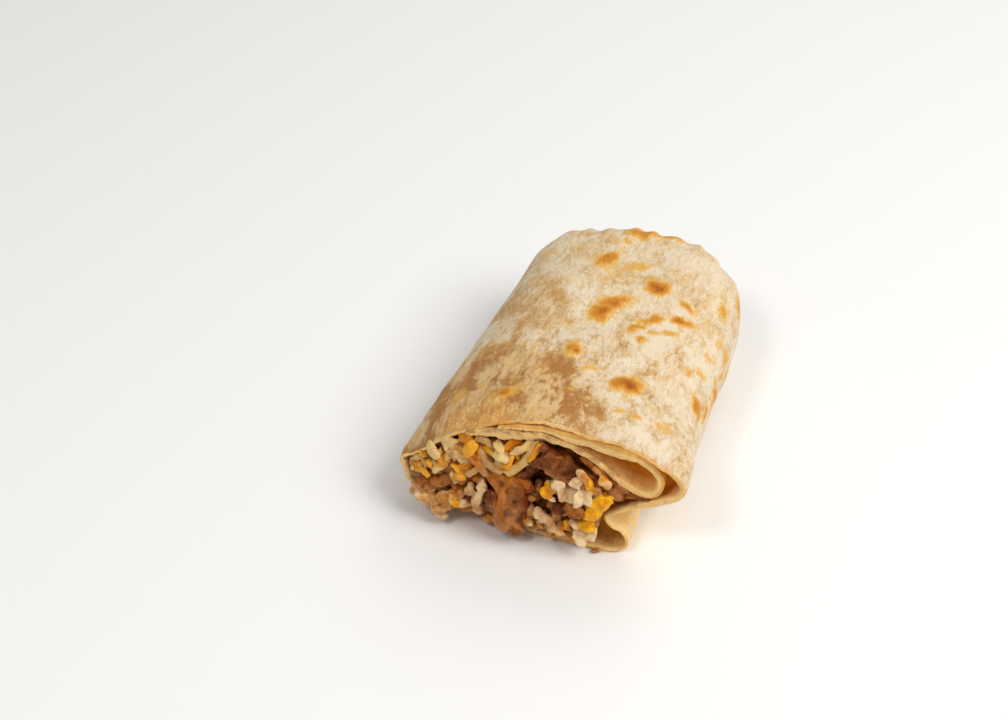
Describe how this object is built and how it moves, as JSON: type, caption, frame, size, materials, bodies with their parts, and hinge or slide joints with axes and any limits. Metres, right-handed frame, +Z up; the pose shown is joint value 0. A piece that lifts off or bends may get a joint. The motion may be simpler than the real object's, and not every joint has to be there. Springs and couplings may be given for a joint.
{
  "type": "breakfast burrito half",
  "caption": "Cut half of a breakfast burrito: a toasted flour tortilla folded round egg, beans and shredded cheese, lying on its side.",
  "frame": {"origin": "on the table under the middle of the whole half, filling included", "axes": "+Z up; +Y along the roll from the cut end to the folded end; +X across the roll, towards the pointed side of the cut"},
  "size_m": [0.0826, 0.114, 0.0434],
  "materials": {
    "tortilla": "dry toasted flour tortilla, floury cream over tan with brown blisters",
    "cheese": "shredded white and yellow cheese, half melted, waxy sheen",
    "beans": "moist mashed pinto beans with some left whole",
    "egg": "soft scrambled egg, yellow and white curds, moist"
  },
  "bodies": {
    "root": {"tortilla": "tortilla", "cheese": "cheese", "beans": "beans", "egg": "egg"}
  },
  "joints": []
}
